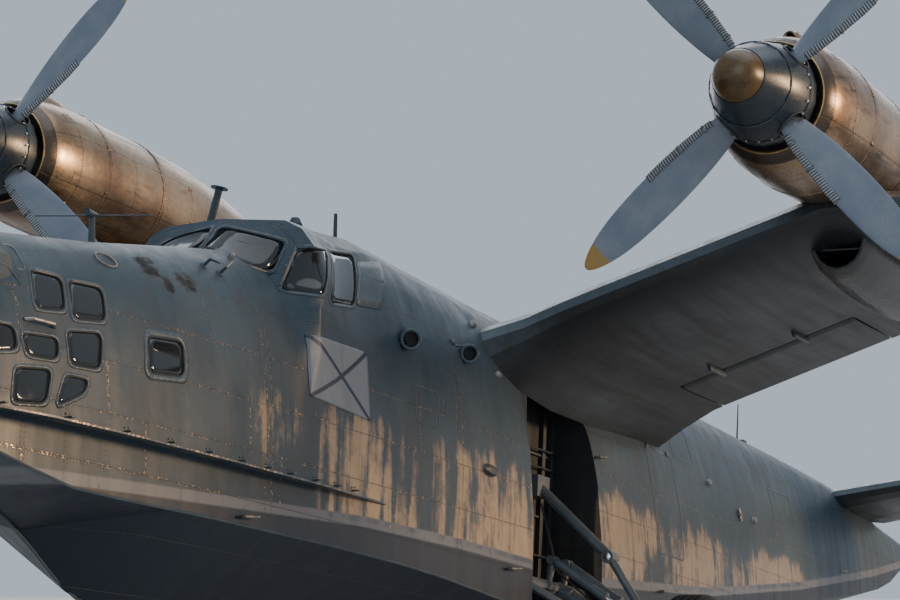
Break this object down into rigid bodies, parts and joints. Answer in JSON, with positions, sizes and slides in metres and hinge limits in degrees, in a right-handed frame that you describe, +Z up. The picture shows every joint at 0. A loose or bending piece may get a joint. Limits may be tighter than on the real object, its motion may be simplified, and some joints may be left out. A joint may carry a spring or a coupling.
{
  "type": "twin-turboprop amphibious flying boat",
  "caption": "Gull-winged flying boat with twin turboprops, twin fins, wing floats and a tail-wheel landing gear, standing on its wheels.",
  "frame": {"origin": "on the floor under the middle of the aircraft's box", "axes": "+Z up, +X to port (the pilot's left), nose towards -Y"},
  "size_m": [29.84, 30.113, 8.2559],
  "materials": {
    "airframe_paint": "satin",
    "radome": "matte",
    "bare_metal": "satin",
    "engine_block": "matte",
    "window_glass": "gloss",
    "tyre_rubber": "matte",
    "wheel_paint": "satin",
    "gear_steel": "satin",
    "blade_metal": "satin",
    "spinner_paint": "satin",
    "seat_fabric": "matte",
    "panel_plastic": "matte"
  },
  "bodies": {
    "airframe": {"nose_radome": "radome", "nose_cabin": "airframe_paint", "nose_glass": "window_glass", "navigator_seat": "seat_fabric", "forward_hull": "airframe_paint", "cockpit_canopy": "airframe_paint", "cockpit_glass": "window_glass", "instrument_panel": "panel_plastic", "pilot_seat_left": "seat_fabric", "pilot_seat_right": "seat_fabric", "centre_hull": "airframe_paint", "rear_hull": "airframe_paint", "tail_boom": "airframe_paint", "spray_strake": "airframe_paint", "inner_wing_left": "airframe_paint", "outer_wing_left": "airframe_paint", "tailplane_left": "airframe_paint", "fin_left": "airframe_paint", "nacelle_left": "bare_metal", "engine_left": "engine_block", "exhaust_left": "bare_metal", "cooler_left": "bare_metal", "float_left": "airframe_paint", "float_struts_left": "airframe_paint", "main_leg_left": "gear_steel", "side_brace_left": "gear_steel", "inner_wing_right": "airframe_paint", "outer_wing_right": "airframe_paint", "tailplane_right": "airframe_paint", "fin_right": "airframe_paint", "nacelle_right": "bare_metal", "engine_right": "engine_block", "exhaust_right": "bare_metal", "cooler_right": "bare_metal", "float_right": "airframe_paint", "float_struts_right": "airframe_paint", "main_leg_right": "gear_steel", "side_brace_right": "gear_steel"},
    "propeller_left": {"propeller_left": "blade_metal", "spinner_left": "spinner_paint"},
    "main_wheel_left": {"wheel_hub_left": "wheel_paint", "tyre_left": "tyre_rubber"},
    "inner_flap_left": {"inner_flap_left": "airframe_paint"},
    "outer_flap_left": {"outer_flap_left": "airframe_paint"},
    "aileron_left": {"aileron_left": "airframe_paint"},
    "elevator_left": {"elevator_left": "airframe_paint"},
    "rudder_left": {"rudder_left": "airframe_paint"},
    "propeller_right": {"propeller_right": "blade_metal", "spinner_right": "spinner_paint"},
    "main_wheel_right": {"wheel_hub_right": "wheel_paint", "tyre_right": "tyre_rubber"},
    "inner_flap_right": {"inner_flap_right": "airframe_paint"},
    "outer_flap_right": {"outer_flap_right": "airframe_paint"},
    "aileron_right": {"aileron_right": "airframe_paint"},
    "elevator_right": {"elevator_right": "airframe_paint"},
    "rudder_right": {"rudder_right": "airframe_paint"},
    "tail_fork": {"tail_fork": "gear_steel"},
    "tail_wheel": {"tail_wheel_hub": "wheel_paint", "tail_tyre": "tyre_rubber"}
  },
  "joints": [
    {"name": "propeller_left_turn", "type": "hinge", "parent": "airframe", "child": "propeller_left", "pos_m": [4.57, -5.36872, 6.4], "axis": [0, 0.9945, -0.1045], "continuous": true},
    {"name": "main_wheel_left_turn", "type": "hinge", "parent": "airframe", "child": "main_wheel_left", "pos_m": [2.64, -2.38558, 0.725], "axis": [1, 0, 0], "continuous": true},
    {"name": "inner_flap_left_hinge", "type": "hinge", "parent": "airframe", "child": "inner_flap_left", "pos_m": [2.8, -0.46351, 4.31693], "axis": [0.9425, 0.0319, 0.3328], "range_deg": [-35, 0]},
    {"name": "outer_flap_left_hinge", "type": "hinge", "parent": "airframe", "child": "outer_flap_left", "pos_m": [7.375, -0.54746, 4.95649], "axis": [0.9987, -0.0512, 0.0052], "range_deg": [-35, 0]},
    {"name": "aileron_left_hinge", "type": "hinge", "parent": "airframe", "child": "aileron_left", "pos_m": [11.885, -0.77888, 4.97992], "axis": [0.9987, -0.0512, 0.0052], "range_deg": [-20, 20]},
    {"name": "elevator_left_hinge", "type": "hinge", "parent": "airframe", "child": "elevator_left", "pos_m": [2.62, 10.96765, 3.04989], "axis": [0.9855, 0.0289, 0.167], "range_deg": [-15, 25]},
    {"name": "rudder_left_hinge", "type": "hinge", "parent": "airframe", "child": "rudder_left", "pos_m": [4.97, 11.10746, 4.06498], "axis": [0, 0.1045, 0.9945], "range_deg": [-25, 25]},
    {"name": "propeller_right_turn", "type": "hinge", "parent": "airframe", "child": "propeller_right", "pos_m": [-4.57, -5.36872, 6.4], "axis": [0, 0.9945, -0.1045], "continuous": true},
    {"name": "main_wheel_right_turn", "type": "hinge", "parent": "airframe", "child": "main_wheel_right", "pos_m": [-2.64, -2.38558, 0.725], "axis": [1, 0, 0], "continuous": true},
    {"name": "inner_flap_right_hinge", "type": "hinge", "parent": "airframe", "child": "inner_flap_right", "pos_m": [-2.8, -0.46351, 4.31693], "axis": [0.9425, -0.0319, -0.3328], "range_deg": [-35, 0]},
    {"name": "outer_flap_right_hinge", "type": "hinge", "parent": "airframe", "child": "outer_flap_right", "pos_m": [-7.375, -0.54746, 4.95649], "axis": [0.9987, 0.0512, -0.0052], "range_deg": [-35, 0]},
    {"name": "aileron_right_hinge", "type": "hinge", "parent": "airframe", "child": "aileron_right", "pos_m": [-11.885, -0.77888, 4.97992], "axis": [0.9987, 0.0512, -0.0052], "range_deg": [-20, 20]},
    {"name": "elevator_right_hinge", "type": "hinge", "parent": "airframe", "child": "elevator_right", "pos_m": [-2.62, 10.96765, 3.04989], "axis": [0.9855, -0.0289, -0.167], "range_deg": [-15, 25]},
    {"name": "rudder_right_hinge", "type": "hinge", "parent": "airframe", "child": "rudder_right", "pos_m": [-4.97, 11.10746, 4.06498], "axis": [0, 0.1045, 0.9945], "range_deg": [-25, 25]},
    {"name": "tail_wheel_swivel", "type": "hinge", "parent": "airframe", "child": "tail_fork", "pos_m": [0, 7.654, 1.1], "axis": [0, 0, 1], "range_deg": [-45, 45]},
    {"name": "tail_wheel_turn", "type": "hinge", "parent": "tail_fork", "child": "tail_wheel", "pos_m": [0, 7.784, 0.475], "axis": [1, 0, 0], "continuous": true}
  ],
  "couplings": [
    {"joint": "inner_flap_right_hinge", "follows": "inner_flap_left_hinge", "ratio": 1},
    {"joint": "outer_flap_left_hinge", "follows": "inner_flap_left_hinge", "ratio": 1},
    {"joint": "outer_flap_right_hinge", "follows": "inner_flap_left_hinge", "ratio": 1},
    {"joint": "aileron_right_hinge", "follows": "aileron_left_hinge", "ratio": -1},
    {"joint": "elevator_right_hinge", "follows": "elevator_left_hinge", "ratio": 1},
    {"joint": "rudder_right_hinge", "follows": "rudder_left_hinge", "ratio": 1}
  ]
}
